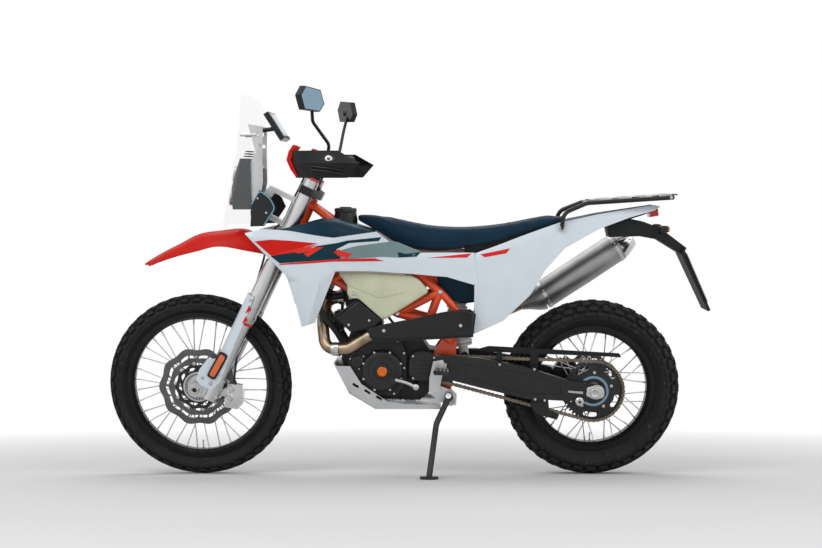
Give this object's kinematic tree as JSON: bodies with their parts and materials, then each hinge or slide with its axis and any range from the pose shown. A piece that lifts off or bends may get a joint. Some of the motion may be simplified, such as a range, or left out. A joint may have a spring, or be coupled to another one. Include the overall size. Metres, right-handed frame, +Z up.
{
  "type": "dual sport motorcycle",
  "caption": "Tall dual sport motorcycle leaning on its side stand, with knobby tyres, trellis frame, rally windscreen, luggage rack and turning front fork.",
  "frame": {"origin": "bottom centre of the parked motorcycle's bounding box, on the ground", "axes": "+X forward, +Y to the rider's left, the side it leans to, +Z up"},
  "size_m": [2.2882, 0.8664, 1.4773],
  "materials": {
    "tyre_rubber": "matt black tread rubber",
    "rim_black": "black anodised",
    "hub_metal": "satin metal with light spokes",
    "disc_steel": "ground steel",
    "sprocket_black": "black steel",
    "chain_steel": "oiled steel",
    "frame_orange": "orange-red powder coat",
    "axle_steel": "bare steel",
    "swingarm_black": "black coated casting",
    "engine_black": "black coated castings",
    "bare_aluminium": "satin machined",
    "exhaust_steel": "heat tinted steel",
    "silencer_titanium": "grey titanium look",
    "black_plastic": "grained black",
    "shock_metal": "white spring on dark body",
    "white_plastic": "white with coloured graphics",
    "orange_plastic": "orange-red",
    "navy_plastic": "navy blue",
    "seat_cover": "navy cover",
    "cell_cream": "pale green cream",
    "radiator_core": "dark fins",
    "fork_tubes": "silver tubes",
    "clamp_black": "black machined",
    "grip_rubber": "soft black",
    "screen_clear": "clear",
    "lamp_dark": "smoked lamp unit",
    "plate_blank": "blank plate",
    "lamp_red": "red lens",
    "stand_black": "black steel"
  },
  "bodies": {
    "chassis": {"chain": "chain_steel", "front_sprocket": "sprocket_black", "main_frame": "frame_orange", "arm_axles": "axle_steel", "swingarm": "swingarm_black", "engine": "engine_black", "skid_plate": "bare_aluminium", "exhaust_header": "exhaust_steel", "silencer": "silencer_titanium", "side_guards": "black_plastic", "rear_shock": "shock_metal", "shrouds": "white_plastic", "side_panels": "white_plastic", "tail": "black_plastic", "seat": "seat_cover", "fuel_tank": "navy_plastic", "fuel_cells": "cell_cream", "canister": "black_plastic", "radiators": "radiator_core", "rear_caliper": "clamp_black", "windscreen": "screen_clear", "lamp_unit": "lamp_dark", "nose_tower": "bare_aluminium", "display": "black_plastic", "lower_fairings": "black_plastic", "rack": "swingarm_black", "plate_holder": "black_plastic", "number_plate": "plate_blank", "tail_lamp": "lamp_red", "peg_brackets": "bare_aluminium", "foot_controls": "stand_black"},
    "fork": {"fork_legs": "fork_tubes", "front_axle": "axle_steel", "triple_clamps": "clamp_black", "handlebar": "clamp_black", "grips": "grip_rubber", "front_fender": "orange_plastic", "fork_guards": "white_plastic", "front_caliper": "clamp_black", "handguards": "black_plastic", "mirrors": "clamp_black", "hand_levers": "clamp_black", "front_hose": "grip_rubber"},
    "front_wheel": {"front_tyre": "tyre_rubber", "front_rim": "rim_black", "front_hub": "hub_metal", "front_disc": "disc_steel"},
    "rear_wheel": {"rear_tyre": "tyre_rubber", "rear_rim": "rim_black", "rear_hub": "hub_metal", "rear_disc": "disc_steel", "rear_sprocket": "sprocket_black"},
    "side_stand": {"side_stand": "stand_black"}
  },
  "joints": [
    {"name": "steering", "type": "hinge", "parent": "chassis", "child": "fork", "pos_m": [0.39782, -0.03289, 0.97485], "axis": [-0.4446, 0.1494, 0.8832], "range_deg": [-40, 40]},
    {"name": "front_wheel_spin", "type": "hinge", "parent": "fork", "child": "front_wheel", "pos_m": [0.7949, -0.13929, 0.3458], "axis": [0, 0.986, -0.1668], "continuous": true},
    {"name": "rear_wheel_spin", "type": "hinge", "parent": "chassis", "child": "rear_wheel", "pos_m": [-0.7051, -0.14105, 0.3354], "axis": [0, 0.986, -0.1668], "continuous": true},
    {"name": "stand_fold", "type": "hinge", "parent": "chassis", "child": "side_stand", "pos_m": [-0.1591, -0.00323, 0.29874], "axis": [0.163, 0.9136, 0.3725], "range_deg": [0, 100]}
  ]
}
